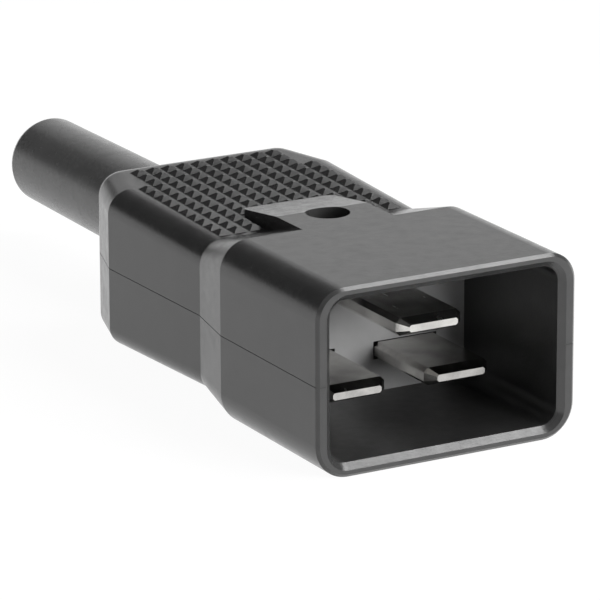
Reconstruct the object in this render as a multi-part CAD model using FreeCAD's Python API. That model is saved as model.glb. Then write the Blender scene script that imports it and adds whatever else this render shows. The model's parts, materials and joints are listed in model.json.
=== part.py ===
import FreeCAD, Part
import math
import os

# Straight rewirable cable plug with three flat blades in a shroud.
# Millimetres. Built with the mouth of the shroud at y = 0, the grip behind it at +y, and the
# parting plane of the two shells at z = 0. Everything is moved at the end so that the origin
# lies at the centre of the footprint, at the height of the resting face.

V = FreeCAD.Vector

# Shroud (front block)
shroud_w = 32.0
shroud_h = 21.0
shroud_len = 21.3
shroud_top_r = 3.4
shroud_bottom_r = 3.9
shroud_side_wall = 1.9
shroud_cap_wall = 1.5
cavity_r = 1.95
rim_chamfer = 0.35
lead_in = 0.7
floor_setback = 1.3

# Grip, tied to the shroud by a short flare and drawn in again at its tail
flare_len = 7.4
grip_len = 29.8
grip_front_w = 29.0
grip_tail_w = 29.9
grip_rear_w = 24.4
grip_front_top = 8.45
grip_rear_top = 9.5
grip_front_low = 8.8
grip_rear_low = 9.5
tail_len = 8.5
tail_corner_r = 3.3
grip_top_r = 2.8
grip_bottom_r = 2.2
grip_side_wall = 2.2
grip_top_wall = 1.9
rear_wall = 7.0

# Waffle of small blunt pyramids on the grip
waffle_pitch = 1.95
waffle_base = 1.9
waffle_top = 0.4
waffle_height = 0.5
waffle_root = 0.05
waffle_start = 0.9
waffle_margin = 2.8
waffle_rear_margin = 3.4
waffle_lead = 2.5
waffle_gap = 0.1

# Smooth tongue round the housing screw, level with the shroud and then sloping down towards the grip
tongue_w = 11.5
tongue_len = 14.0
tongue_flat_len = 5.9
tongue_rear_step = 0.75
tongue_corner_r = 1.0
screw_setback = 4.6

# Parting seam
seam_w = 0.08
seam_depth = 0.08

# Blades
blade_w = 8.0
blade_t = 2.0
pin_spacing = 13.0
earth_offset = 8.0
row_drop = 0.3
power_recess = 8.0
earth_recess = 3.0
blade_edge = 0.5
tip_bevel_len = 1.2
tip_bevel = 0.6
tip_side_bevel = 1.0
tip_edge = 0.2
tail_w = 5.0

# Terminal blocks behind the blades
terminal_w = 6.0
terminal_h = 5.5
terminal_len = 9.0
terminal_web = 1.2
wire_hole_d = 3.2
wire_hole_z = 2.5
terminal_screw_d = 3.0
terminal_head_d = 4.6
terminal_head_h = 1.3

# Insulating pin carrier
flange_t = 2.0
flange_lip = 0.6
boss_cover = 1.5
barrier_t = 0.8
barrier_len = 9.5

# Housing screw and nut
boss_d = 5.2
housing_screw_d = 3.0
housing_head_d = 4.6
housing_head_h = 1.9
counterbore_d = 5.0
seat_t = 0.5
nut_flats = 5.5
nut_h = 2.2
nut_web = 0.4

# Cord clamp
cord_d = 8.6
clamp_setback = 7.0
clamp_len = 6.4
clamp_ring_t = 1.8
clamp_ear_t = 2.2
clamp_ear_lip = 0.3
clamp_seat_z = 1.0
clamp_screw_offset = 2.1
clamp_screw_d = 2.5
clamp_head_d = 4.6
clamp_head_h = 1.6
clamp_boss_d = 5.2
pilot_web = 0.5
saddle_wall = 1.0
saddle_setback = 1.0
saddle_drop = 1.3

# Drives and edges of the screw heads
drive_w = 0.75
drive_depth = 0.8
cross_len = 3.0
head_chamfer = 0.4

# Boot
boot_root_wall = 1.2
boot_tip_wall = 1.0
boot_end_land = 0.1
boot_len = 37.5
boot_flange_rim = 1.5
boot_flange_t = 2.0

# Pegs that line up the rear of the two shells
peg_d = 2.4
peg_h = 2.5

# Clearances
slip = 0.05
loose = 0.15
thread_gap = 0.02
strap_gap = 0.3
terminal_gap = 0.4
tip_gap = 0.3
blend_step = 0.06
eps = 0.5

# Positions that follow from the sizes above
flare_y = shroud_len + flare_len
grip_rear_y = flare_y + grip_len
tail_y = grip_rear_y - tail_len
total_len = grip_rear_y + boot_len
cavity_depth = shroud_len - floor_setback
cavity_w = shroud_w - 2 * shroud_side_wall
cavity_h = shroud_h - 2 * shroud_cap_wall
flange_y1 = cavity_depth + flange_t
core_w = grip_front_w - 2 * grip_side_wall
core_top = grip_front_top - grip_top_wall
core_rear_y = grip_rear_y - rear_wall
screw_y = shroud_len + screw_setback
boss_r = boss_d / 2
carrier_rear_y = screw_y + boss_r + boss_cover
top_z = shroud_h / 2
floor_z = -core_top
seat_z = core_top + seat_t
nut_top = floor_z - nut_web
power_z = -earth_offset / 2 - row_drop
earth_z = earth_offset / 2 - row_drop
power_x = pin_spacing / 2
clamp_y = core_rear_y - clamp_setback
cord_r = cord_d / 2
clamp_ring_r = cord_r + clamp_ring_t
clamp_screw_x = clamp_ring_r + clamp_screw_offset
root_r = cord_r + boot_root_wall
tip_r = cord_r + boot_tip_wall
flange_r = root_r + boot_flange_rim
flange_seat_y = core_rear_y + (rear_wall - boot_flange_t) / 2
far = 2 * total_len
shroud_radii = (shroud_top_r, shroud_bottom_r)
grip_radii = (grip_top_r, grip_bottom_r)
shroud_span = (-shroud_h / 2, shroud_h / 2)
grip_span = (-grip_front_low, grip_front_top)
cavity_span = (-cavity_h / 2, cavity_h / 2)
cavity_radii = (cavity_r, cavity_r)


def box(x0, x1, y0, y1, z0, z1):
    return Part.makeBox(x1 - x0, y1 - y0, z1 - z0, V(x0, y0, z0))


def post(x, y, z0, z1, r):
    """Upright cylinder."""
    return Part.makeCylinder(r, z1 - z0, V(x, y, z0))


def rod(x, z, y0, y1, r):
    """Cylinder along the length of the plug."""
    return Part.makeCylinder(r, y1 - y0, V(x, y0, z), V(0, 1, 0))


def section(y, w, span, radii, grow=0.0):
    """Rectangle across the plug with top and bottom corner radii, as a closed wire."""
    a = w / 2 + grow
    arcs = []
    for sx, sz in ((1, 1), (-1, 1), (-1, -1), (1, -1)):
        r = (radii[0] if sz > 0 else radii[1]) + grow
        b = span[1] + grow if sz > 0 else grow - span[0]
        k = r * (1 - math.sqrt(0.5))
        side = V(sx * a, y, sz * (b - r))
        middle = V(sx * (a - k), y, sz * (b - k))
        flat = V(sx * (a - r), y, sz * b)
        ends = (side, flat) if sx * sz > 0 else (flat, side)
        arcs.append(Part.Arc(ends[0], middle, ends[1]).toShape())
    ring = []
    for i, arc in enumerate(arcs):
        following = arcs[(i + 1) % 4]
        ring += [arc, Part.makeLine(arc.Vertexes[-1].Point, following.Vertexes[0].Point)]
    return Part.Wire(ring)


def prism(y0, y1, w, span, radii, grow=0.0):
    """Bar of one section along the plug."""
    return Part.Face(section(y0, w, span, radii, grow)).extrude(V(0, y1 - y0, 0))


def taper(first, last):
    """Solid between two sections."""
    return Part.makeLoft([first, last], True, True)


def frustum(low, high):
    """Solid between two loops of corners."""
    faces = [low, high]
    for i in range(len(low)):
        j = (i + 1) % len(low)
        faces.append([low[i], low[j], high[j], high[i]])
    shell = Part.Shell([Part.Face(Part.makePolygon(f + [f[0]])) for f in faces])
    solid = Part.Solid(shell)
    if solid.Volume < 0:
        solid.reverse()
    return solid


def upright_edges(solid, y):
    """Vertical edges at a depth."""
    found = []
    for edge in solid.Edges:
        a, b = edge.Vertexes[0].Point, edge.Vertexes[-1].Point
        if min(a.y, b.y) > y - 0.01 and math.hypot(a.x - b.x, a.y - b.y) < 0.01:
            found.append(edge)
    return found


def between(first, last, share):
    return first + (last - first) * share


def grip_half(y):
    """Half of the grip's width at a depth: slowly wider up to the tail, then drawn in."""
    if y < tail_y:
        return between(grip_front_w, grip_tail_w, (y - flare_y) / (tail_y - flare_y)) / 2
    return between(grip_tail_w, grip_rear_w, (y - tail_y) / tail_len) / 2


def grip_reach(y, side):
    """How far the grip's top (side 1) or underside (side -1) lies from the parting plane at a depth."""
    share = (y - flare_y) / grip_len
    if side > 0:
        return between(grip_front_top, grip_rear_top, share)
    return between(grip_front_low, grip_rear_low, share)


def from_above(side, z0, z1, corner_r):
    """Block with the given right side seen from above, mirrored, its rear corners rounded."""
    ring = [V(x, y, z0) for x, y in side] + [V(-x, y, z0) for x, y in reversed(side)]
    block = Part.Face(Part.makePolygon(ring + [ring[0]])).extrude(V(0, 0, z1 - z0))
    return block.makeFillet(corner_r, upright_edges(block, side[-1][1]))


def make_grip():
    """Grip block: its plan cut to its side view, with rounded long edges."""
    y0 = flare_y - eps
    plan = [(grip_half(y), y) for y in (y0, tail_y, grip_rear_y)]
    block = from_above(plan, -shroud_h, shroud_h, tail_corner_r)
    corners = ((y0, -1), (grip_rear_y, -1), (grip_rear_y, 1), (y0, 1))
    ring = [V(-far, y, side * grip_reach(y, side)) for y, side in corners]
    view = Part.Face(Part.makePolygon(ring + [ring[0]])).extrude(V(2 * far, 0, 0))
    block = block.common(view)
    for side, r in ((1, grip_top_r), (-1, grip_bottom_r)):
        rim = []
        for edge in block.Edges:
            ends = [v.Point for v in edge.Vertexes]
            behind = max(p.y for p in ends) > y0 + 0.01
            at_face = all(abs(side * p.z - grip_reach(p.y, side)) < 0.01 for p in ends)
            if behind and at_face:
                rim.append(edge)
        block = block.makeFillet(r, rim)
    return block


def make_outside():
    """Whole outside of the body, still solid and in one piece."""
    c = rim_chamfer
    body = prism(c, shroud_len, shroud_w, shroud_span, shroud_radii)
    edge = section(c, shroud_w, shroud_span, shroud_radii)
    body = body.fuse(taper(section(0, shroud_w, shroud_span, shroud_radii, -c), edge))
    flare_front = section(shroud_len, shroud_w, shroud_span, shroud_radii)
    flare_rear = section(flare_y, grip_front_w, grip_span, grip_radii, blend_step)
    body = body.fuse([taper(flare_front, flare_rear), make_grip()])
    half = tongue_w / 2
    rear = shroud_len + tongue_len
    rear_z = grip_reach(rear, 1) + tongue_rear_step
    corners = ((shroud_len - eps, core_top), (rear, core_top), (rear, rear_z),
               (shroud_len + tongue_flat_len, top_z), (shroud_len - eps, top_z))
    ring = [V(-half, y, z) for y, z in corners]
    tongue = Part.Face(Part.makePolygon(ring + [ring[0]])).extrude(V(tongue_w, 0, 0))
    tongue = tongue.makeFillet(tongue_corner_r, upright_edges(tongue, rear))
    return body.fuse(tongue).removeSplitter()


def make_seam():
    """Shallow groove that runs round the body at the parting plane."""
    half = seam_w / 2
    d = seam_depth
    side = [(shroud_w / 2 - d, d), (shroud_w / 2 - d, shroud_len), (grip_front_w / 2 - d, flare_y),
            (grip_tail_w / 2 - d, tail_y), (grip_rear_w / 2 - d, grip_rear_y - d)]
    band = box(-far, far, -eps, grip_rear_y + eps, -half, half)
    return band.cut(from_above(side, -half, half, tail_corner_r - d))


def make_hollow():
    """Everything taken out of the body on its centre line."""
    w, span, radii = cavity_w, cavity_span, cavity_radii
    hollow = prism(-eps, cavity_depth, w, span, radii)
    mouth = taper(section(-eps, w, span, radii, lead_in + eps), section(lead_in, w, span, radii))
    groove = prism(cavity_depth, flange_y1, w, span, radii, flange_lip + slip)
    core = box(-core_w / 2, core_w / 2, flange_y1 - eps, core_rear_y, floor_z, core_top)
    neck = rod(0, 0, core_rear_y - eps, grip_rear_y + eps, root_r + slip)
    seat = rod(0, 0, flange_seat_y - slip, flange_seat_y + boot_flange_t + slip, flange_r + slip)
    return hollow.fuse([mouth, groove, core, neck, seat])


def waffle_spots(spare_tongue):
    """Centres of the waffle pyramids, clear of the grip's edges and, above, of the tongue."""
    half = waffle_base / 2
    spots = []
    y = flare_y + waffle_start + half
    while y < grip_rear_y - waffle_rear_margin - half:
        behind = y > shroud_len + tongue_len + waffle_gap + half
        x = waffle_pitch / 2
        while x < grip_half(y + waffle_lead) - waffle_margin - half:
            beside = x > tongue_w / 2 + waffle_gap + half
            if beside or behind or not spare_tongue:
                spots += [(-x, y), (x, y)]
            x += waffle_pitch
        y += waffle_pitch
    return spots


def pyramid(x, y, side):
    """One blunt pyramid that follows the slope of the top or the underside, its foot just inside the grip."""
    loops = []
    for lift, half in ((-waffle_root, waffle_base / 2), (waffle_height, waffle_top / 2)):
        loop = []
        for sx, sy in ((-1, -1), (1, -1), (1, 1), (-1, 1)):
            edge_y = y + sy * half
            loop.append(V(x + sx * half, edge_y, side * (grip_reach(edge_y, side) + lift)))
        loops.append(loop)
    return frustum(loops[0], loops[1])


def hexagon(z0, z1, flats):
    """Upright hexagon bar on the line of the housing screw."""
    r = flats / math.sqrt(3)
    turns = [math.radians(60 * i) for i in range(7)]
    ring = [V(r * math.cos(t), screw_y + r * math.sin(t), z0) for t in turns]
    return Part.Face(Part.makePolygon(ring)).extrude(V(0, 0, z1 - z0))


def screw(x, y, seat, shank_d, shank_len, head_d, head_h, crossed):
    """Screw that points down, with a slot or a cross in its head."""
    top = seat + head_h
    head = post(x, y, seat, top, head_d / 2)
    rim = [e for e in head.Edges if min(v.Point.z for v in e.Vertexes) > top - 0.01]
    solid = head.makeChamfer(head_chamfer, rim).fuse(post(x, y, seat - shank_len, seat, shank_d / 2))
    half = drive_w / 2
    reach = cross_len / 2 if crossed else head_d
    solid = solid.cut(box(x - reach, x + reach, y - half, y + half, top - drive_depth, top + eps))
    if crossed:
        solid = solid.cut(box(x - half, x + half, y - reach, y + reach, top - drive_depth, top + eps))
    return solid.removeSplitter()


body = make_outside().cut(make_hollow()).cut(make_seam())

# Housing screw line: boss, screw hole, counterbore above and nut pocket below
body = body.fuse(post(0, screw_y, floor_z - eps / 2, core_top + eps / 2, boss_r))
body = body.cut(post(0, screw_y, -shroud_h, shroud_h, housing_screw_d / 2 + loose))
body = body.cut(post(0, screw_y, seat_z, shroud_h, counterbore_d / 2))
body = body.cut(hexagon(-shroud_h, nut_top, nut_flats + 2 * slip))

upper = body.common(box(-far, far, -far, far, 0, far))
lower = body.common(box(-far, far, -far, far, -far, 0))

# Clamp bosses and cord saddle on the floor of the lower shell
clamp_y0 = clamp_y - clamp_len / 2
clamp_y1 = clamp_y + clamp_len / 2
saddle_half = cord_r + saddle_wall
saddle = box(-saddle_half, saddle_half, clamp_y0 + saddle_setback, clamp_y1 - saddle_setback,
             floor_z - eps, -saddle_drop)
additions = [saddle.cut(rod(0, 0, clamp_y0, clamp_y1, cord_r))]
pilot_len = clamp_seat_z - floor_z - pilot_web
pilot_r = clamp_screw_d / 2 + thread_gap
pilots = []
for side in (-1, 1):
    x = side * clamp_screw_x
    additions.append(post(x, clamp_y, floor_z - eps, clamp_seat_z, clamp_boss_d / 2))
    pilots.append(post(x, clamp_y, clamp_seat_z - pilot_len, clamp_seat_z + eps, pilot_r))
lower = lower.fuse(additions).cut(pilots)

# Pegs of the lower shell in sockets of the upper one, midway between the boot's seat and the outside
peg_y = core_rear_y + peg_d
peg_x = (flange_r + grip_half(peg_y)) / 2
for side in (-1, 1):
    x = side * peg_x
    lower = lower.fuse(post(x, peg_y, -peg_h, peg_h, peg_d / 2))
    upper = upper.cut(post(x, peg_y, -eps, peg_h + 2 * loose, peg_d / 2 + loose))

upper_shell = upper.fuse([pyramid(x, y, 1) for x, y in waffle_spots(True)]).removeSplitter()
lower_shell = lower.fuse([pyramid(x, y, -1) for x, y in waffle_spots(False)]).removeSplitter()

# Insulating carrier: flange in the groove of the shells, block behind it, barriers between terminals
carrier = prism(cavity_depth + slip, flange_y1 - slip, cavity_w, cavity_span, cavity_radii, flange_lip)
block_w = core_w / 2 - slip
block_h = core_top - slip
additions = [box(-block_w, block_w, flange_y1 - eps, carrier_rear_y, -block_h, block_h)]
barrier_x = (power_x + blade_w / 2 - terminal_w / 2) / 2
for side in (-1, 1):
    x = side * barrier_x
    additions.append(box(x - barrier_t / 2, x + barrier_t / 2, carrier_rear_y - eps,
                         carrier_rear_y + barrier_len, -block_h, block_h))
carrier = carrier.fuse(additions).cut(post(0, screw_y, -shroud_h, shroud_h, boss_r + loose))

shoulder_y = cavity_depth + flange_t / 2
terminal_y0 = carrier_rear_y + terminal_gap
terminal_y1 = terminal_y0 + terminal_len
terminal_y = (terminal_y0 + terminal_y1) / 2


def blade_slot(x0, x1, y1, z):
    """Slot in the carrier for one blade or its tail."""
    half = blade_t / 2 + slip
    return box(x0 - slip, x1 + slip, cavity_depth - eps, y1, z - half, z + half)


def blade_ring(x, y, z, a, b, bevel):
    """Section of a blade: a rectangle with bevelled corners, as a loop of corners."""
    ring = []
    for sx, sz in ((1, 1), (-1, 1), (-1, -1), (1, -1)):
        pair = [V(x + sx * a, y, z + sz * (b - bevel)), V(x + sx * (a - bevel), y, z + sz * b)]
        ring += pair if sx * sz > 0 else reversed(pair)
    return ring


def blade(x, z, tip_y, rear_y):
    """Full-width part of a blade: bevelled tip and edges in the shroud, plain root in the carrier."""
    a, b = blade_w / 2, blade_t / 2
    tip = blade_ring(x, tip_y, z, a - tip_side_bevel, b - tip_bevel, tip_edge)
    full = blade_ring(x, tip_y + tip_bevel_len, z, a, b, blade_edge)
    foot = blade_ring(x, cavity_depth, z, a, b, blade_edge)
    root = box(x - a, x + a, cavity_depth, rear_y, z - b, z + b)
    return root.fuse([frustum(tip, full), frustum(full, foot)])


def with_terminal(solid, x, foot_z):
    """Add a terminal block with a wire hole from behind and a screw hole from above."""
    half = terminal_w / 2
    top = foot_z + terminal_h
    wire_z = foot_z + wire_hole_z
    solid = solid.fuse(box(x - half, x + half, terminal_y0, terminal_y1, foot_z, top))
    solid = solid.cut(rod(x, wire_z, terminal_y0 + terminal_web, terminal_y1 + eps, wire_hole_d / 2))
    solid = solid.cut(post(x, terminal_y, wire_z, top + eps, terminal_screw_d / 2 + thread_gap))
    return solid.removeSplitter()


def terminal_screw(x, foot_z):
    """Clamping screw of one terminal block."""
    shank_len = terminal_h - wire_hole_z - tip_gap
    return screw(x, terminal_y, foot_z + terminal_h, terminal_screw_d, shank_len,
                 terminal_head_d, terminal_head_h, False)


# Lower blades: full width in front, a narrower tail clear of the housing screw behind a shoulder
power_pins = []
terminal_screws = []
foot_z = power_z - blade_t / 2
for side in (-1, 1):
    outer = side * (power_x + blade_w / 2)
    wide = sorted((outer, outer - side * blade_w))
    narrow = sorted((outer, outer - side * tail_w))
    tail = box(narrow[0], narrow[1], shoulder_y - eps, terminal_y0 + eps, foot_z, foot_z + blade_t)
    x = outer - side * terminal_w / 2
    pin = blade(side * power_x, power_z, power_recess, shoulder_y).fuse(tail)
    power_pins.append(with_terminal(pin, x, foot_z))
    terminal_screws.append(terminal_screw(x, foot_z))
    carrier = carrier.cut(blade_slot(wide[0], wide[1], shoulder_y + slip, power_z))
    carrier = carrier.cut(blade_slot(narrow[0], narrow[1], carrier_rear_y + eps, power_z))

# Upper blade, longer than the others, with a clearance hole for the boss of the housing screw
foot_z = earth_z + blade_t / 2 - terminal_h
neck = box(-terminal_w / 2, terminal_w / 2, carrier_rear_y - 2 * eps, terminal_y0 + eps,
           earth_z - blade_t / 2, earth_z + blade_t / 2)
earth_pin = blade(0, earth_z, earth_recess, carrier_rear_y - eps).fuse(neck)
earth_pin = earth_pin.cut(post(0, screw_y, 0, shroud_h, boss_r + strap_gap))
earth_pin = with_terminal(earth_pin, 0, foot_z)
terminal_screws.append(terminal_screw(0, foot_z))
carrier = carrier.cut(blade_slot(-blade_w / 2, blade_w / 2, carrier_rear_y + eps, earth_z))
pin_carrier = carrier.removeSplitter()

housing_len = seat_z - nut_top + nut_h - tip_gap
housing_screw = screw(0, screw_y, seat_z, housing_screw_d, housing_len, housing_head_d, housing_head_h, True)
housing_nut = hexagon(nut_top - nut_h, nut_top, nut_flats)
housing_nut = housing_nut.cut(post(0, screw_y, -shroud_h, shroud_h, housing_screw_d / 2 + thread_gap))

# Clamp over the cord: half ring with two ears on the bosses, within the shell's side walls
ear_x = clamp_screw_x + clamp_boss_d / 2 + clamp_ear_lip
ear_z = clamp_seat_z + clamp_ear_t
ear_room = core_w / 2 - slip
cord_clamp = rod(0, 0, clamp_y0, clamp_y1, clamp_ring_r)
cord_clamp = cord_clamp.fuse(box(-ear_x, ear_x, clamp_y0, clamp_y1, clamp_seat_z, ear_z))
cord_clamp = cord_clamp.common(box(-ear_room, ear_room, -far, far, clamp_seat_z, far))
cord_clamp = cord_clamp.cut(rod(0, 0, clamp_y0 - eps, clamp_y1 + eps, cord_r))
clamp_screws = []
for side in (-1, 1):
    x = side * clamp_screw_x
    cord_clamp = cord_clamp.cut(post(x, clamp_y, 0, shroud_h, clamp_screw_d / 2 + loose))
    clamp_screws.append(screw(x, clamp_y, ear_z, clamp_screw_d, clamp_ear_t + pilot_len - tip_gap,
                              clamp_head_d, clamp_head_h, True))
cord_clamp = cord_clamp.removeSplitter()

# Boot: turned profile with a flange held in the rear wall and an end broken by two bevels
neck_y = flange_seat_y + boot_flange_t
end_r = boot_tip_wall - boot_end_land
end_k = end_r * (1 - math.sqrt(0.5))
profile = [V(root_r, grip_rear_y, 0), V(tip_r, total_len - end_r, 0),
           V(tip_r - end_k, total_len - end_k, 0), V(tip_r - end_r, total_len, 0),
           V(cord_r, total_len, 0), V(cord_r, flange_seat_y, 0), V(flange_r, flange_seat_y, 0),
           V(flange_r, neck_y, 0), V(root_r, neck_y, 0)]
boot = Part.Face(Part.makePolygon(profile + [profile[0]])).revolve(V(0, 0, 0), V(0, 1, 0), 360)

nodes = {
    "upper_shell": upper_shell,
    "lower_shell": lower_shell,
    "pin_carrier": pin_carrier,
    "line_pin": power_pins[0],
    "neutral_pin": power_pins[1],
    "earth_pin": earth_pin,
    "terminal_screws": Part.makeCompound(terminal_screws),
    "housing_screw": housing_screw,
    "housing_nut": housing_nut,
    "cord_clamp": cord_clamp,
    "clamp_screws": Part.makeCompound(clamp_screws),
    "boot": boot,
}

os.makedirs("parts", exist_ok=True)
for name, shape in nodes.items():
    shape.translate(V(0, -total_len / 2, shroud_h / 2))
    shape.exportStep("parts/" + name + ".step")
    print(name, len(shape.Solids), round(shape.Volume, 1), shape.isValid())
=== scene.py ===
import json
import math

import bpy
from mathutils import Matrix, Vector


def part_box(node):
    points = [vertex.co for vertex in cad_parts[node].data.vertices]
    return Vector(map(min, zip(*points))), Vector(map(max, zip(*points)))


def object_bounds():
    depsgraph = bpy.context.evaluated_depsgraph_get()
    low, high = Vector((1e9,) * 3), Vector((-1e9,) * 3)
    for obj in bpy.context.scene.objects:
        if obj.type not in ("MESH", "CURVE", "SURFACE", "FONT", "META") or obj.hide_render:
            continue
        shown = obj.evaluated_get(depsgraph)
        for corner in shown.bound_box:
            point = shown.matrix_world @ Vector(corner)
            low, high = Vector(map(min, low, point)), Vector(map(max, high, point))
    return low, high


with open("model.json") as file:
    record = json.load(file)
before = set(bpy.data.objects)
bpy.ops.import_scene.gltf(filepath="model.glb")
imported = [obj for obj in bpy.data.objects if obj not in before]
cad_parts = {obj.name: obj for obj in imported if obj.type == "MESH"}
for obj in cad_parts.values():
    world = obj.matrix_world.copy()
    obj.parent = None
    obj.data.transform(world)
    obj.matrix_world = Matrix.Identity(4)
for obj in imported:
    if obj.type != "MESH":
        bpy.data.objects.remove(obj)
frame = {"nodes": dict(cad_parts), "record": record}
cad_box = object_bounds()
scene = bpy.context.scene
scene.view_settings.view_transform = "Standard"

# Middle of the shroud's mouth, in its front plane
LOW_CORNER, HIGH_CORNER = cad_box
MOUTH = Vector((0.0, LOW_CORNER[1], (LOW_CORNER[2] + HIGH_CORNER[2]) / 2))

# Photographed view: picture and lens in pixels, angles in degrees, and the eye's place from the mouth
PICTURE_PX = 600
LENS_PX = 4648.637
SENSOR_MM = 36.0
AZIMUTH = -29.185
ELEVATION = 17.065
ROLL = -0.194
EYE_DISTANCE = 0.493989
EYE_RIGHT = -0.015736
EYE_UP = 0.00696
CLIP_NEAR = 0.01
CLIP_FAR = 100.0

# Lamps: soft rectangles that face one point of the plug, and whether gloss mirrors them
LIT_POINT = Vector((0.0, -0.01, MOUTH.z))
LAMPS = (
    dict(name="overhead", direction=(0.466, -0.30, 0.81), distance=0.55, width=0.15, height=0.30,
         radiance=8.0, mirrored=True),
    dict(name="rear_right", direction=(0.466, 0.834, 0.2935), distance=0.8, width=0.75, height=0.34,
         radiance=0.62, mirrored=True),
    dict(name="front_right", direction=(0.41, -0.879, 0.242), distance=0.7, width=0.50, height=0.30,
         radiance=17.0, mirrored=False),
)

# Floor: half its side, its drop below the plug, its grey, and the white that eye and gloss see on it
FLOOR_HALF = 6.0
FLOOR_DROP = 0.00002
FLOOR_GREY = 0.86
FLOOR_WHITE = 1.06
FLOOR_WHITE_SHARE = 0.9

# Sky: its grey at two heights of the look-out direction, nought being level and one straight up
HORIZON_HEIGHT = 0.02
HORIZON_GREY = 1.0
OVERHEAD_HEIGHT = 0.2
OVERHEAD_GREY = 0.12

# Zones with painted shade, darker in tone and also rougher: the shroud's inside, and the blades from the
# carrier's face on
OPENING_WIDTH = 0.0282
OPENING_HEIGHT = 0.018
RIM_BEVEL = 0.0005
WALL_MARGIN = 0.00002
FOOT_MARGIN = 0.00015
FAR = 1.0
CAVITY_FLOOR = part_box("pin_carrier")[0][1]
HALF_WIDTH = OPENING_WIDTH / 2 + WALL_MARGIN
HALF_HEIGHT = OPENING_HEIGHT / 2 + WALL_MARGIN
# Painted shade: the shell's inside walls of the mouth are darkened to three quarters of their tone, and
# made rougher
SHROUD_INSIDE_SHADE = dict(low=(-HALF_WIDTH, MOUTH.y + RIM_BEVEL, MOUTH.z - HALF_HEIGHT),
                     high=(HALF_WIDTH, CAVITY_FLOOR, MOUTH.z + HALF_HEIGHT),
                     shade_factor=0.75, added_roughness=0.1)
# Painted shade: the blades are darkened almost to black from just in front of the carrier's face on, where
# they sit in its slots, and made rougher
BLADE_FEET_SHADE = dict(low=(-FAR, CAVITY_FLOOR - FOOT_MARGIN, -FAR), high=(FAR, FAR, FAR),
                  shade_factor=0.06, added_roughness=0.3)

# Noise: scale of the clouds in the tone, how much coarser the gloss is than the relief, and their details
CLOUD_SCALE = 260.0
GLOSS_COARSER = 6
CLOUD_DETAIL = 4.0
GLOSS_DETAIL = 5.0
RELIEF_DETAIL = 3.0

# Noise levels at which a ramp has its first and its last tone
NOISE_LOW = 0.3
NOISE_HIGH = 0.7

# Stretch of the noise, depth of the relief, and refraction
EVEN = (1.0, 1.0, 1.0)
DRAWN_ALONG_Y = (1.0, 0.06, 1.0)
PLASTIC_DEPTH = 0.00004
METAL_DEPTH = 0.00003
PLAIN_IOR = 1.5
GLOSSY_IOR = 1.58

# Looks by material slot: darkest and lightest tone, range of roughness, fineness and strength of the relief
LOOKS = {
    "shell_plastic": dict(tones=(0.028, 0.036), roughness=(0.18, 0.26), fineness=4500.0, bump=0.3,
                          ior=GLOSSY_IOR, zone=SHROUD_INSIDE_SHADE),
    "carrier_plastic": dict(tones=(0.20, 0.235), roughness=(0.42, 0.52), fineness=9000.0, bump=0.12),
    "blade_metal": dict(tones=((0.40, 0.39, 0.38), (0.74, 0.73, 0.70)), roughness=(0.16, 0.28),
                        fineness=4000.0, bump=0.06, depth=METAL_DEPTH, metallic=1.0,
                        stretch=DRAWN_ALONG_Y, zone=BLADE_FEET_SHADE),
    "screw_steel": dict(tones=((0.52, 0.52, 0.51), (0.62, 0.62, 0.60)), roughness=(0.28, 0.42),
                        fineness=6000.0, bump=0.1, depth=METAL_DEPTH, metallic=1.0),
    "clamp_plastic": dict(tones=(0.02, 0.03), roughness=(0.40, 0.50), fineness=9000.0, bump=0.12),
    "boot_rubber": dict(tones=(0.105, 0.125), roughness=(0.22, 0.30), fineness=4500.0, bump=0.3,
                        ior=GLOSSY_IOR),
}

# Sockets of a Mix node that mixes colours
MIX_FACTOR = 0
MIX_BEFORE = 6
MIX_OTHER = 7
MIX_RESULT = 2


def view_axes():
    """Directions to the right, up and back towards the eye in the photographed view."""
    azimuth, elevation, roll = (math.radians(angle) for angle in (AZIMUTH, ELEVATION, ROLL))
    level = math.cos(elevation)
    back = Vector((math.sin(azimuth) * level, -math.cos(azimuth) * level, math.sin(elevation)))
    right = Vector((math.cos(azimuth), math.sin(azimuth), 0.0))
    up = back.cross(right)
    rolled_right = right * math.cos(roll) + up * math.sin(roll)
    rolled_up = up * math.cos(roll) - right * math.sin(roll)
    return rolled_right, rolled_up, back


def make_camera():
    """Camera that sees the plug as the photograph does."""
    right, up, back = view_axes()
    data = bpy.data.cameras.new("photo_camera")
    data.sensor_fit = "HORIZONTAL"
    data.sensor_width = SENSOR_MM
    data.lens = LENS_PX / PICTURE_PX * SENSOR_MM
    data.clip_start = CLIP_NEAR
    data.clip_end = CLIP_FAR
    camera = bpy.data.objects.new("photo_camera", data)
    eye = MOUTH + back * EYE_DISTANCE + right * EYE_RIGHT + up * EYE_UP
    turn = Matrix((right, up, back)).transposed().to_4x4()
    camera.matrix_world = Matrix.Translation(eye) @ turn
    scene.collection.objects.link(camera)
    scene.camera = camera


def softbox(name, direction, distance, width, height, radiance, mirrored):
    """Rectangular lamp that faces the lit point; its power follows from its radiance."""
    data = bpy.data.lights.new(name, "AREA")
    data.shape = "RECTANGLE"
    data.size = width
    data.size_y = height
    data.energy = math.pi * width * height * radiance
    lamp = bpy.data.objects.new(name, data)
    toward = Vector(direction).normalized()
    lamp.location = LIT_POINT + toward * distance
    lamp.rotation_euler = toward.to_track_quat("Z", "Y").to_euler()
    lamp.visible_camera = False
    lamp.visible_glossy = mirrored
    scene.collection.objects.link(lamp)


class Nodes:
    """Short way to write a node tree."""

    def __init__(self, tree):
        self.tree = tree
        tree.nodes.clear()

    def add(self, kind, **values):
        node = self.tree.nodes.new(kind)
        for key, value in values.items():
            setattr(node, key, value)
        return node

    def link(self, source, target):
        self.tree.links.new(source, target)


def rgba(tone):
    """A grey or a colour as a colour socket takes it."""
    red, green, blue = tone if isinstance(tone, tuple) else (tone, tone, tone)
    return red, green, blue, 1.0


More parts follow.
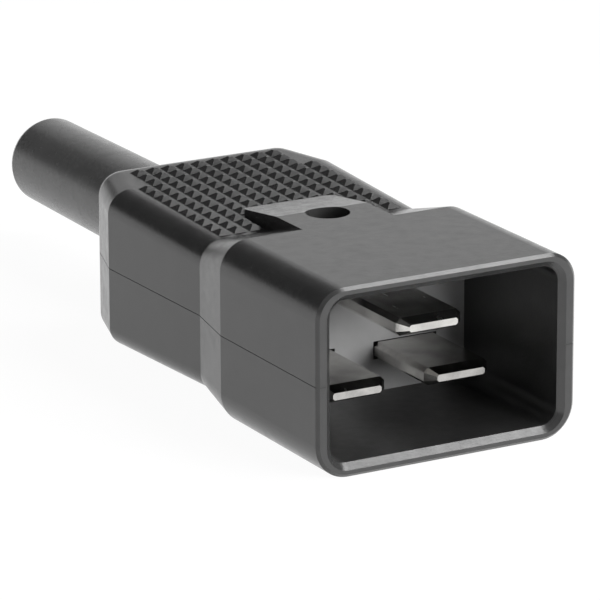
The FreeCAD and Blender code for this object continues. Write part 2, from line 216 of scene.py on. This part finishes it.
def grain(nodes, coords, scale, detail, stretch=EVEN):
    """Noise of a given fineness over the part."""
    mapping = nodes.add("ShaderNodeMapping")
    mapping.inputs["Scale"].default_value = stretch
    nodes.link(coords.outputs["Object"], mapping.inputs["Vector"])
    noise = nodes.add("ShaderNodeTexNoise")
    noise.inputs["Scale"].default_value = scale
    noise.inputs["Detail"].default_value = detail
    nodes.link(mapping.outputs["Vector"], noise.inputs["Vector"])
    return noise.outputs["Fac"]


def ramp(nodes, source, low, high, start=NOISE_LOW, stop=NOISE_HIGH):
    """Greys or colours from a number that varies, such as a noise."""
    node = nodes.add("ShaderNodeValToRGB")
    for element, place, tone in zip(node.color_ramp.elements, (start, stop), (low, high)):
        element.position = place
        element.color = rgba(tone)
    nodes.link(source, node.inputs["Fac"])
    return node.outputs["Color"]


def within(nodes, coords, low, high):
    """One within a box of the part, nought outside it."""
    split = nodes.add("ShaderNodeSeparateXYZ")
    nodes.link(coords.outputs["Object"], split.inputs["Vector"])
    mask = None
    for axis, start, stop in zip("XYZ", low, high):
        near = nodes.add("ShaderNodeMath", operation="COMPARE")
        near.inputs[1].default_value = (start + stop) / 2
        near.inputs[2].default_value = (stop - start) / 2
        nodes.link(split.outputs[axis], near.inputs[0])
        if mask is None:
            mask = near.outputs[0]
            continue
        both = nodes.add("ShaderNodeMath", operation="MULTIPLY")
        nodes.link(mask, both.inputs[0])
        nodes.link(near.outputs[0], both.inputs[1])
        mask = both.outputs[0]
    return mask


def changed(nodes, mask, source, mode, amount):
    """A tone or a roughness that is multiplied or added to within a mask only."""
    mix = nodes.add("ShaderNodeMix", data_type="RGBA", blend_type=mode)
    mix.inputs[MIX_OTHER].default_value = rgba(amount)
    nodes.link(mask, mix.inputs[MIX_FACTOR])
    nodes.link(source, mix.inputs[MIX_BEFORE])
    return mix.outputs[MIX_RESULT]


def surface(name, tones, roughness, fineness, bump, depth=PLASTIC_DEPTH, metallic=0.0, ior=PLAIN_IOR,
            stretch=EVEN, zone=None):
    """Moulded or plated surface: clouded tone, uneven gloss, fine relief, and a zone of painted shade that
    is also rougher.
    """
    material = bpy.data.materials.new(name)
    material.use_nodes = True
    nodes = Nodes(material.node_tree)
    out = nodes.add("ShaderNodeOutputMaterial")
    shader = nodes.add("ShaderNodeBsdfPrincipled")
    shader.inputs["Metallic"].default_value = metallic
    shader.inputs["IOR"].default_value = ior
    coords = nodes.add("ShaderNodeTexCoord")
    clouds = grain(nodes, coords, CLOUD_SCALE, CLOUD_DETAIL)
    tone = ramp(nodes, clouds, *tones)
    patches = grain(nodes, coords, fineness / GLOSS_COARSER, GLOSS_DETAIL, stretch)
    gloss = ramp(nodes, patches, *roughness)
    # Painted shade: within the zone's box the tone is darkened, and the roughness is raised
    if zone:
        mask = within(nodes, coords, zone["low"], zone["high"])
        tone = changed(nodes, mask, tone, "MULTIPLY", zone["shade_factor"])
        gloss = changed(nodes, mask, gloss, "ADD", zone["added_roughness"])
    nodes.link(tone, shader.inputs["Base Color"])
    nodes.link(gloss, shader.inputs["Roughness"])
    relief = nodes.add("ShaderNodeBump")
    relief.inputs["Strength"].default_value = bump
    relief.inputs["Distance"].default_value = depth
    nodes.link(grain(nodes, coords, fineness, RELIEF_DETAIL, stretch), relief.inputs["Height"])
    nodes.link(relief.outputs["Normal"], shader.inputs["Normal"])
    nodes.link(shader.outputs["BSDF"], out.inputs["Surface"])
    return material


def floor_material():
    """Pale grey, mostly white where the eye or a gloss looks at it, so that part of the shadow is kept."""
    material = bpy.data.materials.new("pale_floor")
    material.use_nodes = True
    nodes = Nodes(material.node_tree)
    out = nodes.add("ShaderNodeOutputMaterial")
    plain = nodes.add("ShaderNodeBsdfDiffuse")
    plain.inputs["Color"].default_value = rgba(FLOOR_GREY)
    white = nodes.add("ShaderNodeEmission")
    white.inputs["Color"].default_value = rgba(1.0)
    white.inputs["Strength"].default_value = FLOOR_WHITE
    path = nodes.add("ShaderNodeLightPath")
    seen = path.outputs["Is Camera Ray"]
    for other in ("Is Glossy Ray", "Is Transmission Ray"):
        either = nodes.add("ShaderNodeMath", operation="MAXIMUM")
        nodes.link(seen, either.inputs[0])
        nodes.link(path.outputs[other], either.inputs[1])
        seen = either.outputs[0]
    share = nodes.add("ShaderNodeMath", operation="MULTIPLY")
    share.inputs[1].default_value = FLOOR_WHITE_SHARE
    nodes.link(seen, share.inputs[0])
    mix = nodes.add("ShaderNodeMixShader")
    nodes.link(share.outputs[0], mix.inputs["Fac"])
    nodes.link(plain.outputs["BSDF"], mix.inputs[1])
    nodes.link(white.outputs["Emission"], mix.inputs[2])
    nodes.link(mix.outputs["Shader"], out.inputs["Surface"])
    return material


def make_floor():
    """Wide square under the plug."""
    side = (-FLOOR_HALF, FLOOR_HALF)
    corners = [(side[i], side[j], -FLOOR_DROP) for i, j in ((0, 0), (1, 0), (1, 1), (0, 1))]
    mesh = bpy.data.meshes.new("floor")
    mesh.from_pydata(corners, [], [range(len(corners))])
    mesh.materials.append(floor_material())
    floor = bpy.data.objects.new("floor", mesh)
    scene.collection.objects.link(floor)


def make_world():
    """Studio round the part: white at the horizon, dimmer overhead."""
    world = bpy.data.worlds.new("studio")
    scene.world = world
    world.use_nodes = True
    nodes = Nodes(world.node_tree)
    out = nodes.add("ShaderNodeOutputWorld")
    back = nodes.add("ShaderNodeBackground")
    coords = nodes.add("ShaderNodeTexCoord")
    split = nodes.add("ShaderNodeSeparateXYZ")
    nodes.link(coords.outputs["Generated"], split.inputs["Vector"])
    sky = ramp(nodes, split.outputs["Z"], HORIZON_GREY, OVERHEAD_GREY, HORIZON_HEIGHT, OVERHEAD_HEIGHT)
    nodes.link(sky, back.inputs["Color"])
    nodes.link(back.outputs["Background"], out.inputs["Surface"])


make_camera()
make_floor()
make_world()
for lamp in LAMPS:
    softbox(**lamp)

materials = {name: surface(name, **look) for name, look in LOOKS.items()}
for part in frame["record"]["subparts"]:
    node = frame["nodes"][part["node"]]
    node.data.materials.clear()
    node.data.materials.append(materials[part["material_slot"]])
